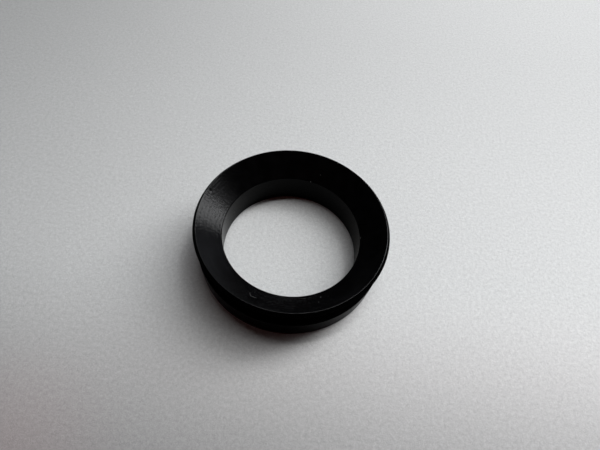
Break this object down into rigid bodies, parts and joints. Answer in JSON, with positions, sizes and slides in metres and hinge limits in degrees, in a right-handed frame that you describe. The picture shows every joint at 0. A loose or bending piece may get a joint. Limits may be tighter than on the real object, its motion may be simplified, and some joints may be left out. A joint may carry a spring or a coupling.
{
  "type": "v-ring seal",
  "caption": "Black rubber V-ring shaft seal: a plain-bored body that grips the shaft, a V-groove, and a conical flexible lip with a square-cut tip.",
  "frame": {"origin": "centre of the body's flat back face, on the ring's axis", "axes": "+Z along the axis, from the back face towards the lip; the ring is round, so +X is any radius"},
  "size_m": [0.0278, 0.0278, 0.0075],
  "materials": {
    "rubber": "matte, moulded"
  },
  "bodies": {
    "root": {"v_ring": "rubber"}
  },
  "joints": []
}
